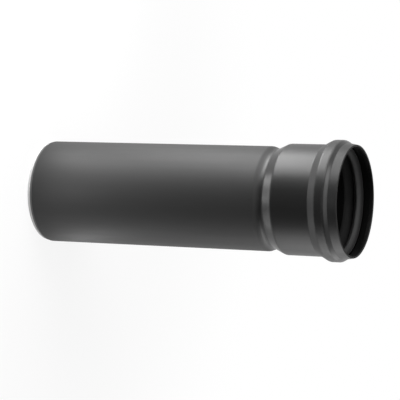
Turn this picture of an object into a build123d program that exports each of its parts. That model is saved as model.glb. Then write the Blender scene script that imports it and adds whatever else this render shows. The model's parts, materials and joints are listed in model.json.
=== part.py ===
from build123d import *
from math import cos, radians, sin, tan
import os

# Push-fit air supply pipe: a plastic pipe with a plain chamfered spigot at the bottom and a formed
# socket at the top, and the rubber lip seal that sits in the socket's ring groove.
# Millimetres. +Z runs along the pipe from the spigot to the socket, and the origin is the centre
# of the spigot's end face. Every slope is given in degrees from the axis.

# Pipe
pipe_outer_d = 80.0          # outside of the barrel, which is also what the socket takes
wall = 2.0                   # even all along, also where the socket is formed
overall_length = 258.0       # spigot end to socket mouth
spigot_chamfer_length = 4.0
spigot_chamfer_angle = 15.0

# Neck and shoulder, where the barrel opens out into the socket
insertion_depth = 54.0       # how far the next spigot goes in before it meets the shoulder
neck_depth = 1.8             # rolled in below the barrel
neck_floor_length = 2.4
neck_run_in_length = 4.5     # slope from the barrel down to the neck's floor
neck_bend = 4.0              # radius of the neck's bends, on the outside
shoulder_angle = 25.0
shoulder_bend = 2.5          # radius of the bends at the barrel and the socket, on the inside

# Socket, its ring groove and the collar at the mouth
socket_clearance = 0.2       # between the next spigot and the socket, on the radius
bead_height = 3.6            # ring groove, raised above the socket
bead_crown_length = 6.6
bead_back_angle = 28.5       # flank towards the spigot
bead_front_angle = 36.0      # flank towards the mouth
bead_bend = 1.2              # radius of the crown's bends, on the inside
bead_foot_bend = 2.0         # radius of the bend at the back flank's foot, on the outside
collar_foot_bend = 1.0       # radius of the bend at the front flank's foot, on the outside
collar_length = 6.6          # front flank to mouth
collar_clearance = 1.6       # between the next spigot and the collar's foot, on the radius
collar_angle = 10.5          # the collar closes in towards the mouth
mouth_clearance = 0.9        # between the next spigot and the mouth, which is reamed straight
mouth_round = 0.5            # on both edges of the mouth

# Lip seal
seat_gap = 0.1               # between the seal and the walls of its groove
rib_count = 3                # ribs that bear on the groove's floor
rib_groove_r = 0.5
heel_clearance = 1.1         # between the next spigot and the seal's heel, on the radius
front_relief_angle = 12.0    # how much steeper the seal's front is than the groove's wall
lip_squeeze = 1.6            # how much smaller the lip is than the next spigot, on the radius
lip_angle = 32.0
lip_thickness = 1.9          # at its root
lip_land_length = 1.2        # short straight bore at its tip
lip_round = 0.2
seal_round = 0.4

# Radii and stations along the axis that follow from the sizes above
barrel_r = pipe_outer_d / 2
tip_r = barrel_r - spigot_chamfer_length * tan(radians(spigot_chamfer_angle))
neck_r = barrel_r - neck_depth
socket_r = barrel_r + socket_clearance + wall
crown_r = socket_r + bead_height
groove_floor_r = crown_r - wall
collar_r = barrel_r + collar_clearance + wall
mouth_bore_r = barrel_r + mouth_clearance


def run(height, angle):
    """Length along the axis of a slope that rises by a height."""
    return height / tan(radians(angle))


def mitre(depth, angle):
    """How far a corner between a slope and a straight shifts along the axis at a depth below it."""
    return depth * tan(radians(angle / 2))


# The next spigot's tip stops on the inside of the shoulder, one wall below its outside.
stop_z = overall_length - insertion_depth
shoulder_wall = wall / cos(radians(shoulder_angle))
shoulder_foot_z = stop_z - run(tip_r + shoulder_wall - neck_r, shoulder_angle)
shoulder_top_z = shoulder_foot_z + run(socket_r - neck_r, shoulder_angle)
neck_floor_z = shoulder_foot_z - neck_floor_length
neck_start_z = neck_floor_z - neck_run_in_length
collar_z = overall_length - collar_length
crown_end_z = collar_z - run(crown_r - collar_r, bead_front_angle)
crown_start_z = crown_end_z - bead_crown_length
bead_foot_z = crown_start_z - run(bead_height, bead_back_angle)


# Pipe: its outside is one line from the spigot to the mouth, and the wall follows it inside
def make_pipe():
    start = (barrel_r, 0)
    corners = [
        ((barrel_r, neck_start_z), shoulder_bend + wall),
        ((neck_r, neck_floor_z), neck_bend),
        ((neck_r, shoulder_foot_z), neck_bend),
        ((socket_r, shoulder_top_z), shoulder_bend + wall),
        ((socket_r, bead_foot_z), bead_foot_bend),
        ((crown_r, crown_start_z), bead_bend + wall),
        ((crown_r, crown_end_z), bead_bend + wall),
        ((collar_r, collar_z), collar_foot_bend),
    ]
    past_mouth_z = overall_length + wall
    past_mouth = (collar_r - (past_mouth_z - collar_z) * tan(radians(collar_angle)), past_mouth_z)
    points = [start] + [point for point, bend in corners] + [past_mouth]
    outside = FilletPolyline(*points, radius=[bend for point, bend in corners])
    section = make_face(offset(outside, wall, side=Side.LEFT, closed=True))

    chamfer_cut = Polyline(
        (tip_r, 0),
        (barrel_r + wall, 0),
        (barrel_r + wall, spigot_chamfer_length),
        (barrel_r, spigot_chamfer_length),
        close=True,
    )
    section -= make_face(chamfer_cut)

    # The collar is made too long, then cut off square and reamed straight at the mouth
    mouth_cut = Polyline(
        (0, collar_z),
        (mouth_bore_r, collar_z),
        (mouth_bore_r, overall_length),
        (crown_r, overall_length),
        (crown_r, past_mouth_z + wall),
        (0, past_mouth_z + wall),
        close=True,
    )
    section -= make_face(mouth_cut)
    mouth_edges = section.vertices().group_by(Axis.Y)[-1]
    section = fillet(mouth_edges, mouth_round)
    return revolve(Plane.XZ * section, Axis.Z)


# Lip seal: a ribbed heel seated in the ring groove, and a tapered lip that leans into the socket
def make_lip_seal():
    seat_r = groove_floor_r - seat_gap
    seat_start_z = crown_start_z + mitre(wall + seat_gap, bead_back_angle)
    seat_end_z = crown_end_z - mitre(wall + seat_gap, bead_front_angle)
    heel_r = barrel_r + heel_clearance
    lip_r = barrel_r - lip_squeeze
    brow_z = seat_end_z + run(seat_r - heel_r, bead_front_angle + front_relief_angle)
    root_z = brow_z - lip_thickness / sin(radians(lip_angle))
    land_end_z = brow_z - run(heel_r - lip_r, lip_angle)
    land_start_z = land_end_z - lip_land_length
    corners = [
        ((seat_r, seat_start_z), bead_bend),
        ((seat_r, seat_end_z), bead_bend),
        ((heel_r, brow_z), seal_round),
        ((lip_r, land_end_z), lip_round),
        ((lip_r, land_start_z), lip_round),
        ((heel_r, root_z), seal_round),
        ((heel_r, seat_start_z), seal_round),
    ]
    points = [point for point, bend in corners]
    outline = FilletPolyline(*points, radius=[bend for point, bend in corners], close=True)
    section = make_face(outline)

    rib_pitch = (seat_end_z - seat_start_z) / rib_count
    for rib in range(1, rib_count):
        groove = Pos(seat_r, seat_start_z + rib * rib_pitch) * Circle(rib_groove_r)
        section -= groove
    return revolve(Plane.XZ * section, Axis.Z)


sub_parts = {
    "pipe": make_pipe(),
    "lip_seal": make_lip_seal(),
}

os.makedirs("parts", exist_ok=True)
for name, solid in sub_parts.items():
    export_step(solid, f"parts/{name}.step")
    print(f"{name}: {solid.volume / 1000:.2f} cm3")
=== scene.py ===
import bpy
import json
import math
from mathutils import Matrix, Vector

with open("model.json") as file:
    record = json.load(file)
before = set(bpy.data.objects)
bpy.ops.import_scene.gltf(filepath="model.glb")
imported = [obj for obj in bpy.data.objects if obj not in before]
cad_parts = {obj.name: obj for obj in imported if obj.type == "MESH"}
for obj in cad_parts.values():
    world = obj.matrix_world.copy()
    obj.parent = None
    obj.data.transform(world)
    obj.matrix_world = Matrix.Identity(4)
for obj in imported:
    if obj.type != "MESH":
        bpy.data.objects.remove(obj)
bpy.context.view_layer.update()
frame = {"nodes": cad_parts, "record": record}
pipe = frame["nodes"]["pipe"]
lipSeal = frame["nodes"]["lip_seal"]
mounts = {mount["name"]: mount for mount in frame["record"]["mounts"]}


# Where the pipe's outside changes, read from its own mesh, so that the finish follows the form

outwardsEnough = 0.5     # least share of a point's normal that leads away from the axis on the outside
radiusSlack = 0.00005    # metres


def outsideOf(node):
    # height and radius all the way up
    radii = {}
    for vertex in node.data.vertices:
        radius = math.hypot(vertex.co.x, vertex.co.y)
        outwards = vertex.normal.x * vertex.co.x + vertex.normal.y * vertex.co.y
        if outwards > outwardsEnough * radius:
            height = round(vertex.co.z, 5)
            radii[height] = max(radii.get(height, 0.0), radius)
    return sorted(radii.items())


def pipeStations(node):
    outside = outsideOf(node)
    barrelRadius = mounts["spigot"]["dims"]["r_mm"] / 1000
    crownRadius = max(radius for height, radius in outside)
    reached = [height for height, radius in outside if radius > barrelRadius - radiusSlack]
    narrowed = [height for height, radius in outside if radius < barrelRadius - radiusSlack]
    neck = [height for height in narrowed if height > reached[0]]
    crown = [height for height, radius in outside if radius > crownRadius - radiusSlack]
    return {
        "chamferTop": reached[0],
        "neckStart": neck[0],
        "neckEnd": neck[-1],
        "crownStart": crown[0],
        "crownEnd": crown[-1],
        "crownRadius": crownRadius,
        "mouth": outside[-1][0],
    }


stations = pipeStations(pipe)
print("stations in mm:", {name: round(value * 1000, 2) for name, value in stations.items()})


# Short ways to build shader nodes

def newMaterial(name):
    material = bpy.data.materials.new(name)
    material.use_nodes = True
    material.node_tree.nodes.clear()
    return material.node_tree, material


def plugIn(tree, value, socket):
    if isinstance(value, bpy.types.NodeSocket):
        tree.links.new(value, socket)
    else:
        socket.default_value = value


def calc(tree, operation, first, second=0.0):
    node = tree.nodes.new("ShaderNodeMath")
    node.operation = operation
    plugIn(tree, first, node.inputs[0])
    plugIn(tree, second, node.inputs[1])
    return node.outputs[0]


def plus(tree, first, second):
    return calc(tree, "ADD", first, second)


def minus(tree, first, second):
    return calc(tree, "SUBTRACT", first, second)


def times(tree, first, second):
    return calc(tree, "MULTIPLY", first, second)


def larger(tree, first, second):
    return calc(tree, "MAXIMUM", first, second)


def ramp(tree, value, start, end, low=0.0, high=1.0):
    # soft step from low at the start to high at the end
    node = tree.nodes.new("ShaderNodeMapRange")
    node.interpolation_type = "SMOOTHSTEP"
    plugIn(tree, value, node.inputs["Value"])
    node.inputs["From Min"].default_value = start
    node.inputs["From Max"].default_value = end
    node.inputs["To Min"].default_value = low
    node.inputs["To Max"].default_value = high
    return node.outputs["Result"]


def between(tree, value, start, end, soft):
    # 1 from start to end, with soft edges
    rise = ramp(tree, value, start - soft, start + soft)
    fall = ramp(tree, value, end + soft, end - soft)
    return times(tree, rise, fall)


def hump(tree, value, centre, halfWidth):
    # 1 at the centre, 0 at half a width away on either side
    away = calc(tree, "ABSOLUTE", minus(tree, value, centre))
    return ramp(tree, away, halfWidth, 0.0)


def swing(tree, pattern, amount):
    # a pattern from 0 to 1 becomes a change of up to half the amount either way
    return times(tree, minus(tree, pattern, 0.5), amount)


def speckle(tree, where, pattern):
    mapping = tree.nodes.new("ShaderNodeMapping")
    tree.links.new(where, mapping.inputs["Vector"])
    mapping.inputs["Scale"].default_value = pattern["stretch"]
    node = tree.nodes.new("ShaderNodeTexNoise")
    tree.links.new(mapping.outputs["Vector"], node.inputs["Vector"])
    node.inputs["Scale"].default_value = pattern["scale"]
    node.inputs["Detail"].default_value = pattern["detail"]
    return node.outputs["Fac"]


def blend(tree, kind, amount, first, second):
    node = tree.nodes.new("ShaderNodeMix")
    node.data_type = kind
    plugIn(tree, amount, node.inputs["Factor"])
    plugIn(tree, first, node.inputs["A"])
    plugIn(tree, second, node.inputs["B"])
    return node.outputs["Result"]


def blendColours(tree, amount, first, second):
    return blend(tree, "RGBA", amount, first, second)


def blendValues(tree, amount, first, second):
    return blend(tree, "FLOAT", amount, first, second)


def relief(tree, height, depth, under=None):
    node = tree.nodes.new("ShaderNodeBump")
    node.inputs["Strength"].default_value = 1.0
    node.inputs["Distance"].default_value = depth
    plugIn(tree, height, node.inputs["Height"])
    if under is not None:
        tree.links.new(under, node.inputs["Normal"])
    return node.outputs["Normal"]


def grey(level):
    return (level, level, level, 1.0)


def placeOn(tree):
    # place on the object, in metres
    return tree.nodes.new("ShaderNodeTexCoord").outputs["Object"]


def splitUp(tree, vector):
    node = tree.nodes.new("ShaderNodeSeparateXYZ")
    tree.links.new(vector, node.inputs[0])
    return list(node.outputs)


def fromAxis(tree, x, y):
    squares = plus(tree, calc(tree, "POWER", x, 2.0), calc(tree, "POWER", y, 2.0))
    return calc(tree, "SQRT", squares)


def finishMaterial(tree, colour, roughness, normal, ior):
    shader = tree.nodes.new("ShaderNodeBsdfPrincipled")
    output = tree.nodes.new("ShaderNodeOutputMaterial")
    plugIn(tree, colour, shader.inputs["Base Color"])
    plugIn(tree, roughness, shader.inputs["Roughness"])
    plugIn(tree, normal, shader.inputs["Normal"])
    shader.inputs["IOR"].default_value = ior
    tree.links.new(shader.outputs["BSDF"], output.inputs["Surface"])


# Camera: the photo's viewing angle, rolled so that the standing pipe lies level in the picture

cameraView = {
    "place": (0.00291, -1.24565, 0.69351),
    "elevation": 24.305,         # degrees above the horizon, looking down
    "roll": 92.066,
    "lens": 159.0,
    "sensor": 36.0,
    "clipNear": 0.05,
    "clipFar": 60.0,
}


def makeCamera(values):
    data = bpy.data.cameras.new("photoCamera")
    data.lens = values["lens"]
    data.sensor_width = values["sensor"]
    data.clip_start = values["clipNear"]
    data.clip_end = values["clipFar"]
    camera = bpy.data.objects.new("photoCamera", data)
    bpy.context.scene.collection.objects.link(camera)
    tilt = Matrix.Rotation(math.radians(90.0 - values["elevation"]), 4, "X")
    roll = Matrix.Rotation(math.radians(values["roll"]), 4, "Z")
    camera.matrix_world = Matrix.Translation(values["place"]) @ tilt @ roll
    bpy.context.scene.camera = camera


makeCamera(cameraView)
print("camera set")


# Pipe: black polypropylene, matt where it was extruded and smoother where the socket was formed, with
# painted shade in its bore and on its mouth's rim

pipePlastic = {
    # greys
    "barrelBase": 0.011,
    "formedBase": 0.006,
    "rubbedBase": 0.012,         # crown's edges, which rub in handling
    # painted shade: the bore gets a darker grey than the same plastic outside
    "boreBase": 0.0025,
    # painted shade: the sawn rim gets the bore's dark grey, darker than the plastic it is cut from
    "rimBase": 0.0025,
    "cutBase": 0.070,            # turned chamfer, greyer from the cutting and lighter still as a painted highlight
    "tipBase": 0.500,            # its thin end, whitened by the cutting and made lighter still as a painted highlight

    # roughness
    "barrelRoughness": 0.62,
    "formedRoughness": 0.43,
    "stretchedRoughness": 0.33,  # shoulder and front of the bead, drawn tight over the former
    "beadBackRoughness": 0.54,   # hardly touches the former
    "boreRoughness": 0.36,
    "grooveRoughness": 0.85,     # ring groove's back wall, left matt by the former
    "rimRoughness": 0.90,        # sawn
    "cutRoughness": 0.66,
    "mottleSwing": 0.10,
    "drawLineSwing": 0.08,

    # where one finish ends and the next begins, in metres
    "formedInset": 0.001,        # past the neck's start
    "formedBlend": 0.003,        # length over which the matt skin turns smooth
    "shoulderLength": 0.0075,
    "shoulderSoft": 0.0006,
    "beadFrontLength": 0.0032,
    "beadBackLength": 0.0075,
    "beadSoft": 0.0004,
    "dullAboveFoot": 0.001,      # the bead's back is dull from here above its foot
    "dullBelowCrown": 0.0008,    # to here below the crown
    "dullSoft": 0.0005,
    "rimDepth": 0.0005,          # below the mouth, where the sawn rim starts to show
    "rimFull": 0.0001,           # and where it shows in full
    "cutAbove": 0.0002,          # above the chamfer's top, where the cut starts to show
    "cutBelow": 0.0001,          # and below it, where it shows in full
    "tipLength": 0.0022,
    "tipSoft": 0.0005,
    "rubbedWidth": 0.0016,
    "rubbedDepth": 0.001,

    # share of the normal that leads to the axis, where the bore's finish and its painted shade start and
    # are full
    "boreStart": 0.15,
    "boreFull": 0.45,

    # patterns, drawn out along the pipe where the last number of their stretch is below 1
    "drawLines": {"scale": 700.0, "stretch": (1.0, 1.0, 0.012), "detail": 3.0},
    "drawLineDepth": 0.000008,
    "grain": {"scale": 2600.0, "stretch": (1.0, 1.0, 1.0), "detail": 2.0},
    "grainDepth": 0.000006,
    "mottle": {"scale": 38.0, "stretch": (1.0, 1.0, 0.35), "detail": 3.0},
    "patches": {"scale": 420.0, "stretch": (1.0, 1.0, 1.0), "detail": 4.0},
    "patchStart": 0.40,
    "patchFull": 0.62,
    "toolMarkPitch": 0.0004,
    "toolMarkDepth": 0.00001,

    "ior": 1.49,
}


def outwardShare(tree, x, y, radius):
    # 1 where the surface faces away from the axis, 0 on a flat end, -1 in the bore
    coordinates = tree.nodes.new("ShaderNodeTexCoord")
    normalX, normalY = splitUp(tree, coordinates.outputs["Normal"])[:2]
    along = plus(tree, times(tree, normalX, x), times(tree, normalY, y))
    return calc(tree, "DIVIDE", along, radius)


def rubbedEdges(tree, values, at, where, radius, z):
    # patches on the crown's two edges
    lower = hump(tree, z, at["crownStart"], values["rubbedWidth"])
    upper = hump(tree, z, at["crownEnd"], values["rubbedWidth"])
    proud = ramp(tree, radius, at["crownRadius"] - values["rubbedDepth"], at["crownRadius"])
    patches = speckle(tree, where, values["patches"])
    patches = ramp(tree, patches, values["patchStart"], values["patchFull"])
    return times(tree, times(tree, larger(tree, lower, upper), proud), patches)


def pipeZones(tree, values, at, where):
    # how much of each finish a point has, from 0 to 1
    x, y, z = splitUp(tree, where)
    radius = fromAxis(tree, x, y)
    outward = outwardShare(tree, x, y, radius)
    formedStart = at["neckStart"] + values["formedInset"]
    shoulderEnd = at["neckEnd"] + values["shoulderLength"]
    beadFoot = at["crownStart"] - values["beadBackLength"]
    dullStart = beadFoot + values["dullAboveFoot"]
    dullEnd = at["crownStart"] - values["dullBelowCrown"]
    frontEnd = at["crownEnd"] + values["beadFrontLength"]
    soft = values["beadSoft"]
    tip, tipSoft = values["tipLength"], values["tipSoft"]

    # the bore's mask carries its roughness and its painted shade
    bore = ramp(tree, outward, -values["boreStart"], -values["boreFull"])
    shoulder = between(tree, z, at["neckEnd"], shoulderEnd, values["shoulderSoft"])
    beadFront = between(tree, z, at["crownEnd"] + soft, frontEnd, soft)
    cut = ramp(tree, z, at["chamferTop"] + values["cutAbove"], at["chamferTop"] - values["cutBelow"])
    return {
        "formed": ramp(tree, z, formedStart, formedStart + values["formedBlend"]),
        "stretched": larger(tree, shoulder, beadFront),
        "beadBack": between(tree, z, dullStart, dullEnd, values["dullSoft"]),
        "rubbed": rubbedEdges(tree, values, at, where, radius, z),
        "bore": bore,
        "groove": between(tree, z, beadFoot, at["crownEnd"], soft),
        # the rim's mask carries its roughness and its painted shade
        "rim": ramp(tree, z, at["mouth"] - values["rimDepth"], at["mouth"] - values["rimFull"]),
        "cut": times(tree, cut, minus(tree, 1.0, bore)),
        "tip": ramp(tree, z, tip + tipSoft, tip - tipSoft),
    }


def pipeColour(tree, values, zones):
    colour = blendColours(tree, zones["formed"], grey(values["barrelBase"]), grey(values["formedBase"]))
    # the bore and the rim are painted darker as shade, and the rubbed crown edges are lighter
    for zone in ("rubbed", "bore", "rim"):
        colour = blendColours(tree, zones[zone], colour, grey(values[zone + "Base"]))
    # the cut end: grey from the cutting, with a painted highlight that is brightest on the thin end
    cutColour = blendColours(tree, zones["tip"], grey(values["cutBase"]), grey(values["tipBase"]))
    return blendColours(tree, zones["cut"], colour, cutColour)


def pipeRoughness(tree, values, zones, where, drawLines):
    roughness = blendValues(tree, zones["formed"], values["barrelRoughness"], values["formedRoughness"])
    for zone in ("stretched", "beadBack"):
        roughness = blendValues(tree, zones[zone], roughness, values[zone + "Roughness"])
    inside = blendValues(tree, zones["groove"], values["boreRoughness"], values["grooveRoughness"])
    roughness = blendValues(tree, zones["bore"], roughness, inside)
    for zone in ("rim", "cut"):
        roughness = blendValues(tree, zones[zone], roughness, values[zone + "Roughness"])
    mottle = swing(tree, speckle(tree, where, values["mottle"]), values["mottleSwing"])
    streaks = swing(tree, drawLines, values["drawLineSwing"])
    return plus(tree, roughness, plus(tree, mottle, streaks))


def pipeRelief(tree, values, zones, where, drawLines):
    # draw lines and grain all over, and the turning tool's rings on the chamfer
    height = splitUp(tree, where)[2]
    rings = calc(tree, "SINE", times(tree, height, 2.0 * math.pi / values["toolMarkPitch"]))
    normal = relief(tree, drawLines, values["drawLineDepth"])
    normal = relief(tree, speckle(tree, where, values["grain"]), values["grainDepth"], normal)
    return relief(tree, times(tree, rings, zones["cut"]), values["toolMarkDepth"], normal)


def makePipePlastic(values, at):
    tree, material = newMaterial("pipePlastic")
    where = placeOn(tree)
    zones = pipeZones(tree, values, at, where)
    drawLines = speckle(tree, where, values["drawLines"])
    colour = pipeColour(tree, values, zones)
    roughness = pipeRoughness(tree, values, zones, where, drawLines)
    normal = pipeRelief(tree, values, zones, where, drawLines)
    finishMaterial(tree, colour, roughness, normal, values["ior"])
    return material


pipe.material_slots[0].material = makePipePlastic(pipePlastic, stations)
print("pipe plastic made")


# Lip seal: black rubber, moulded, with a faint bloom on the lip and painted shade on the brow near the
# groove

sealRubber = {
    "base": 0.022,
    "bloomBase": 0.036,
    # painted shade on the brow, where the seal sits back in the groove
    "browBase": 0.004,
    "roughness": 0.66,
    "bloomRoughness": 0.76,
    "browRoughness": 0.92,
    "bloom": {"scale": 90.0, "stretch": (1.0, 1.0, 2.5), "detail": 4.0},
    "bloomStart": 0.40,
    "bloomFull": 0.70,
    "browStart": 0.0018,         # metres above the lip
    "browFull": 0.0040,
    "grain": {"scale": 3200.0, "stretch": (1.0, 1.0, 1.0), "detail": 2.0},
    "grainDepth": 0.000008,
    "ior": 1.52,
}


def makeSealRubber(values, lipHeight):
    tree, material = newMaterial("sealRubber")
    where = placeOn(tree)
    height = splitUp(tree, where)[2]
    bloom = ramp(tree, speckle(tree, where, values["bloom"]), values["bloomStart"], values["bloomFull"])
    # painted shade: darker upwards from the lip towards the groove
    browShade = ramp(tree, height, lipHeight + values["browStart"], lipHeight + values["browFull"])
    colour = blendColours(tree, bloom, grey(values["base"]), grey(values["bloomBase"]))
    colour = blendColours(tree, browShade, colour, grey(values["browBase"]))
    roughness = blendValues(tree, bloom, values["roughness"], values["bloomRoughness"])
    roughness = blendValues(tree, browShade, roughness, values["browRoughness"])
    normal = relief(tree, speckle(tree, where, values["grain"]), values["grainDepth"])
    finishMaterial(tree, colour, roughness, normal, values["ior"])
    return material


lipSeal.material_slots[0].material = makeSealRubber(sealRubber, mounts["seal_lip"]["pos_m"][2])
print("seal rubber made")


# Floor: white paper. It keeps the pipe's shadow near the foot and fades to plain white further out

floorPaper = {
    "halfSize": 14.0,
    "paper": 0.80,
    "whiteNear": 0.86,           # share of plain white beside the foot, the rest is lit paper
    "fadeStart": 0.10,
    "fadeEnd": 0.45,
}


def addSheet(name, corners, faces, material):
    mesh = bpy.data.meshes.new(name)
    mesh.from_pydata(corners, [], faces)
    mesh.materials.append(material)
    sheet = bpy.data.objects.new(name, mesh)
    bpy.context.scene.collection.objects.link(sheet)
    return sheet


def seenRays(tree):
    # camera, glossy and transmission rays see the white background
    path = tree.nodes.new("ShaderNodeLightPath")
    seen = larger(tree, path.outputs["Is Camera Ray"], path.outputs["Is Glossy Ray"])
    return larger(tree, seen, path.outputs["Is Transmission Ray"])


def makeFloor(values):
    tree, material = newMaterial("floorPaper")
    x, y = splitUp(tree, placeOn(tree))[:2]
    white = ramp(tree, fromAxis(tree, x, y), values["fadeStart"], values["fadeEnd"], values["whiteNear"])
    glow = tree.nodes.new("ShaderNodeEmission")
    paper = tree.nodes.new("ShaderNodeBsdfDiffuse")
    paper.inputs["Color"].default_value = grey(values["paper"])
    mix = tree.nodes.new("ShaderNodeMixShader")
    output = tree.nodes.new("ShaderNodeOutputMaterial")
    tree.links.new(times(tree, white, seenRays(tree)), mix.inputs[0])
    tree.links.new(paper.outputs[0], mix.inputs[1])
    tree.links.new(glow.outputs[0], mix.inputs[2])
    tree.links.new(mix.outputs[0], output.inputs["Surface"])
    h = values["halfSize"]
    corners = [(-h, -h, 0.0), (h, -h, 0.0), (h, h, 0.0), (-h, h, 0.0)]
    addSheet("floor", corners, [(0, 1, 2, 3)], material)


makeFloor(floorPaper)
print("floor made")


# Dark cloth in front of the pipe and behind the camera. Only reflections see it, so black stays black

darkCloth = {
    "halfWidth": 1.0,            # of the part that lies on the floor
    "near": -0.15,
    "far": -2.4,
    "lift": 0.001,
    "roomHalfWidth": 8.0,        # of the part that hangs behind the camera
    "height": 4.2,
    "level": 0.03,
}


def makeDarkCloth(values):
    tree, material = newMaterial("darkCloth")
    glow = tree.nodes.new("ShaderNodeEmission")
    glow.inputs["Strength"].default_value = values["level"]
    output = tree.nodes.new("ShaderNodeOutputMaterial")
    tree.links.new(glow.outputs[0], output.inputs["Surface"])
    w, r = values["halfWidth"], values["roomHalfWidth"]
    near, far = values["near"], values["far"]
    low, top = values["lift"], values["height"]
    corners = [(-w, near, low), (w, near, low), (w, far, low), (-w, far, low)]
    corners += [(-r, far, low), (r, far, low), (r, far, top), (-r, far, top)]
    cloth = addSheet("darkCloth", corners, [(0, 1, 2, 3), (4, 5, 6, 7)], material)
    cloth.visible_camera = False
    cloth.visible_diffuse = False
    cloth.visible_shadow = False
    cloth.visible_transmission = False


makeDarkCloth(darkCloth)
print("dark cloth made")


# Studio: soft boxes at both sides, an arc of them in front and above, and small lamps at the foot.
# A level of 1 is as bright as white paper in full light, and azimuth 0 is in front of the pipe

sideLamps = {
    "sideBox": {"place": (-0.300, -0.075, 0.060), "size": (0.300, 0.120), "level": 12.0},
    "sideTop": {"place": (-0.300, -0.075, 0.180), "size": (0.300, 0.120), "level": 4.0},
    "sideHigh": {"place": (-0.300, -0.075, 0.300), "size": (0.300, 0.120), "level": 2.2},
    "fillBox": {"place": (0.600, 0.000, 0.120), "size": (0.600, 0.260), "level": 2.6},
    "backBox": {"place": (0.600, 0.450, 0.420), "size": (0.500, 0.400), "level": 1.7},
}

arcAim = (0.0, 0.0, 0.2)         # what the arc's boxes point at
frontRow = {"elevation": 8.0, "distance": 0.9, "size": (0.36, 0.30)}
topRow = {"elevation": 48.0, "distance": 0.8, "size": (0.34, 0.34)}
arcLamps = {
    "frontLeft": {"row": frontRow, "azimuth": -50.0, "level": 5.5},
    "front": {"row": frontRow, "azimuth": 0.0, "level": 1.2},
    "topLeft": {"row": topRow, "azimuth": -60.0, "level": 4.7},
    "topFrontLeft": {"row": topRow, "azimuth": -30.0, "level": 2.1},
    "topFront": {"row": topRow, "azimuth": 0.0, "level": 1.6},
    "topFrontRight": {"row": topRow, "azimuth": 30.0, "level": 1.3},
}

footRing = {"distance": 0.105, "height": 0.002, "size": (0.05, 0.05)}
footLamps = {
    "footLeft": {"azimuth": -60.0, "level": 9.5},
    "footFrontLeft": {"azimuth": -32.0, "level": 2.4},
    "footFront": {"azimuth": 0.0, "level": 4.2},
    "footRight": {"azimuth": 60.0, "level": 1.6},
    "footFarRight": {"azimuth": 95.0, "level": 6.0},
}

studioWorld = {"level": 0.35}    # soft light from all round, while camera and reflections see plain white


def addLamp(name, place, faces, size, level):
    data = bpy.data.lights.new(name, "AREA")
    data.shape = "RECTANGLE"
    data.size = size[0]
    data.size_y = size[1]
    data.energy = level * math.pi * size[0] * size[1]
    lamp = bpy.data.objects.new(name, data)
    bpy.context.scene.collection.objects.link(lamp)
    lamp.rotation_mode = "QUATERNION"
    lamp.rotation_quaternion = Vector(faces).to_track_quat("-Z", "Y")
    lamp.location = place
    lamp.visible_camera = False


def awayFrom(azimuth, elevation):
    turn = math.radians(azimuth)
    rise = math.radians(elevation)
    return Vector((math.sin(turn) * math.cos(rise), -math.cos(turn) * math.cos(rise), math.sin(rise)))


def lightStudio():
    for name, lamp in sideLamps.items():
        faces = (1.0, 0.0, 0.0) if lamp["place"][0] < 0.0 else (-1.0, 0.0, 0.0)
        addLamp(name, lamp["place"], faces, lamp["size"], lamp["level"])
    for name, lamp in arcLamps.items():
        row = lamp["row"]
        away = awayFrom(lamp["azimuth"], row["elevation"])
        addLamp(name, Vector(arcAim) + away * row["distance"], -away, row["size"], lamp["level"])
    for name, lamp in footLamps.items():
        place = awayFrom(lamp["azimuth"], 0.0) * footRing["distance"]
        place.z = footRing["height"]
        addLamp(name, place, (0.0, 0.0, 1.0), footRing["size"], lamp["level"])


def makeWorld(values):
    world = bpy.data.worlds.new("studioWorld")
    bpy.context.scene.world = world
    world.use_nodes = True
    tree = world.node_tree
    tree.nodes.clear()
    sky = tree.nodes.new("ShaderNodeBackground")
    output = tree.nodes.new("ShaderNodeOutputWorld")
    plugIn(tree, ramp(tree, seenRays(tree), 0.0, 1.0, values["level"]), sky.inputs["Strength"])
    tree.links.new(sky.outputs[0], output.inputs["Surface"])


lightStudio()
makeWorld(studioWorld)
print("studio lit")

bpy.context.scene.view_settings.view_transform = "Standard"
